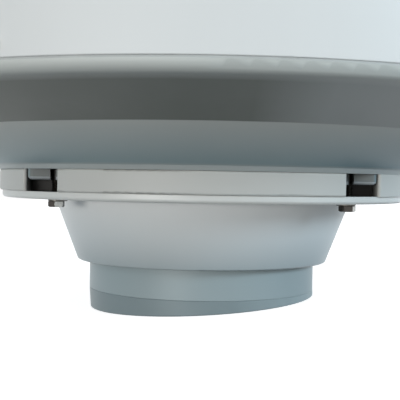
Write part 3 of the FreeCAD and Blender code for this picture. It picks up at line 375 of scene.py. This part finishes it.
def ring_surface(name, rings, segments, place, materials, second):
    """A closed skin through rings. Each ring is (radius at an angle, height), foot to top.
    second holds the (ring, segment) pairs whose faces take the second material."""
    mesh = bpy.data.meshes.new(name)
    builder = bmesh.new()
    loops = []
    for radius, height in rings:
        loop = []
        for i in range(segments):
            angle = 2 * math.pi * i / segments
            reach = radius(angle) if callable(radius) else radius
            point = (reach * math.cos(angle), reach * math.sin(angle), height)
            loop.append(builder.verts.new(point))
        loops.append(loop)
    for level, (below, above) in enumerate(zip(loops, loops[1:])):
        for i in range(segments):
            after = (i + 1) % segments
            face = builder.faces.new((below[i], below[after], above[after], above[i]))
            face.material_index = int((level, i) in second)
    builder.faces.new(list(reversed(loops[0])))
    builder.faces.new(loops[-1])
    builder.to_mesh(mesh)
    builder.free()
    mesh.transform(place)
    for material in materials:
        mesh.materials.append(material)
    item = bpy.data.objects.new(name, mesh)
    bpy.context.scene.collection.objects.link(item)
    return item


def hexagon(across_flats):
    """Radius of a hexagon at an angle, with flats facing +-X."""

    def reach(angle):
        return across_flats / 2 / math.cos((angle + math.pi / 6) % (math.pi / 3) - math.pi / 6)

    return reach


def chamfered(across_flats, limit):
    """The same, cut back to a cone's radius at that height."""
    whole = hexagon(across_flats)
    return lambda angle: min(whole(angle), limit)


def bolt_rings(head_low, head_high, top):
    """An M8 bolt's rings: recessed face, chamfer, flats, washer face and rolled threads."""
    shank, pitch = 0.004, 0.00125
    root = shank - 0.0004
    rings = [(0.0005, head_low + 0.0004), (0.0048, head_low + 0.0004), (0.0052, head_low)]
    for step in range(5):
        rise = step * 0.00022
        rings.append((chamfered(FLATS, 0.0061 + rise * 1.73), head_low + rise))
    rings += [
        (hexagon(FLATS), head_low + 0.0013),
        (hexagon(FLATS), head_high - 0.0003),
        (0.0062, head_high - 0.0002),
        (0.0061, head_high),
        (shank, head_high),
    ]
    for i in range(int((top - head_high) / pitch)):
        start = head_high + i * pitch
        rings += [(root, start + 0.1 * pitch), (shank, start + 0.6 * pitch)]
    rings.append((shank - 0.0006, top))
    return rings


def make_bolts():
    """M8 bolts with chamfered heads and rolled threads, in place of the CAD's plain ones."""
    low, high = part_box("dome_bolts")
    offset = high.x - FLATS / 2
    rings = bolt_rings(low.z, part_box("bolt_washers")[0].z, high.z)
    # One flat of each head carries a painted highlight, a glint standing in for reflected light,
    # and the others stay dull.
    # The threads above the lip are painted near-black, as painted shade.
    dull = metal("bolt_steel", DULL, 0.30, top=(LIP_TOP, THREAD_PAINTED_SHADE))
    glint_finish = metal("painted_glint_steel", GLINT_PAINTED_COLOUR, 0.28)
    # Side in X and in Y, turn in degrees, and the flat with the painted highlight.
    places = ((1, 1, 0, 2), (-1, 1, 100, 4), (-1, -1, 180, 2), (1, -1, 270, 1))
    for index, (sign_x, sign_y, turn, flat) in enumerate(places):
        spin = Matrix.Rotation(math.radians(turn), 4, "Z")
        place = Matrix.Translation((offset * sign_x, offset * sign_y, 0)) @ spin
        start = flat * FLAT_SEGMENTS - FLAT_SEGMENTS // 2
        glint_faces = {
            (level, i % BOLT_SEGMENTS)
            for level in HEAD_LEVELS
            for i in range(start, start + FLAT_SEGMENTS)
        }
        bolt = ring_surface(
            f"dome_bolt_{index}", rings, BOLT_SEGMENTS, place, (dull, glint_finish), glint_faces
        )
        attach(bolt, "mount")
        if index == 0:
            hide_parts("dome_bolts")


make_bolts()


# ---------------------------------------------------------------- studio
def background_rays(graph):
    """1 for rays that show the background itself, directly or mirrored, and 0 for the rest."""
    paths = graph.add("ShaderNodeLightPath").outputs
    seen = paths["Is Camera Ray"]
    for kind in ("Is Glossy Ray", "Is Transmission Ray"):
        seen = graph.calculate("MAXIMUM", seen, paths[kind])
    return seen


def make_floor():
    """A wide pale deck that lies in the wedge's own sloping underside."""
    mesh = bpy.data.meshes.new("deck")
    builder = bmesh.new()
    bmesh.ops.create_circle(builder, cap_ends=True, segments=96, radius=9.0)
    builder.to_mesh(mesh)
    builder.free()
    deck = bpy.data.objects.new("deck", mesh)
    bpy.context.scene.collection.objects.link(deck)
    # The wedge's lower edge is rounded, so the deck meets it a little inside the wedge's box.
    low_edge = Vector((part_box("deck_wedge")[0].x + 0.0013, 0, -0.0002))
    deck.matrix_world = Matrix.Translation(low_edge) @ Matrix.Rotation(-DECK_SLOPE, 4, "Y")
    work = Finish("deck_white")
    seen = background_rays(work)
    work.set("Base Color", work.mix(seen, (0.07, 0.10, 0.12), (0.5, 0.5, 0.5)))
    work.set("Roughness", 0.9)
    work.set("Specular IOR Level", 0.0)
    work.set("Emission Color", (1, 1, 1))
    work.set("Emission Strength", work.calculate("MULTIPLY", seen, 0.85))
    mesh.materials.append(work.material)


def make_world():
    """White to the camera. It lights the object softly, more from the horizon and below than from
    straight above, and more bluish from the sides."""
    world = bpy.data.worlds.new("studio")
    bpy.context.scene.world = world
    world.use_nodes = True
    graph = Graph(world.node_tree)
    direction = graph.split(graph.add("ShaderNodeTexCoord").outputs["Generated"])
    ramp = graph.add("ShaderNodeFloatCurve")
    curve = ramp.mapping.curves[0]
    curve.points[0].location = (0.0, 0.45)
    curve.points[1].location = (1.0, 0.30)
    curve.points.new(0.30, 0.45)
    curve.points.new(0.65, 0.40)
    graph.link(direction["Z"], ramp.inputs["Value"])
    strength = graph.calculate("MULTIPLY", ramp.outputs["Value"], 2.0)
    sideways = graph.calculate("ABSOLUTE", direction["X"])
    tint = graph.mix(graph.spread(sideways, 0.0, 1.0, 0.45, 0.95), (1, 1, 1), (0.55, 0.82, 1.0))
    seen = background_rays(graph)
    background = graph.tree.nodes["Background"]
    graph.link(graph.mix(seen, strength, 1.0, "FLOAT"), background.inputs["Strength"])
    graph.link(graph.mix(seen, tint, (1, 1, 1)), background.inputs["Color"])


def make_lamp(name, place, target, width, height, power, colour):
    lamp = bpy.data.lights.new(name, "AREA")
    lamp.shape = "ELLIPSE"
    lamp.size = width
    lamp.size_y = height
    lamp.energy = power
    lamp.color = colour
    item = bpy.data.objects.new(name, lamp)
    bpy.context.scene.collection.objects.link(item)
    item.location = place
    item.rotation_euler = (Vector(target) - Vector(place)).to_track_quat("-Z", "Y").to_euler()


def make_camera():
    lens = bpy.data.cameras.new("camera")
    lens.angle = FIELD_OF_VIEW
    lens.clip_start = 0.01
    camera = bpy.data.objects.new("camera", lens)
    bpy.context.scene.collection.objects.link(camera)
    yaw = Matrix.Rotation(CAMERA_YAW, 4, "Z")
    pitch = Matrix.Rotation(math.radians(90) + CAMERA_PITCH, 4, "X")
    roll = Matrix.Rotation(CAMERA_ROLL, 4, "Z")
    camera.matrix_world = Matrix.Translation(CAMERA_PLACE) @ yaw @ pitch @ roll
    bpy.context.scene.camera = camera


make_floor()
make_world()
make_lamp("key", (-2.16, -4.5, 0.16), (0, 0, 0.13),
          width=3.2, height=0.65, power=99, colour=(1, 0.99, 0.96))
make_lamp("right_sky", (3.7, -1.9, 1.5), (0.1, 0, 0.05),
          width=1.8, height=1.3, power=94, colour=(0.70, 0.88, 1.0))
make_camera()
bpy.context.scene.view_settings.view_transform = "Standard"
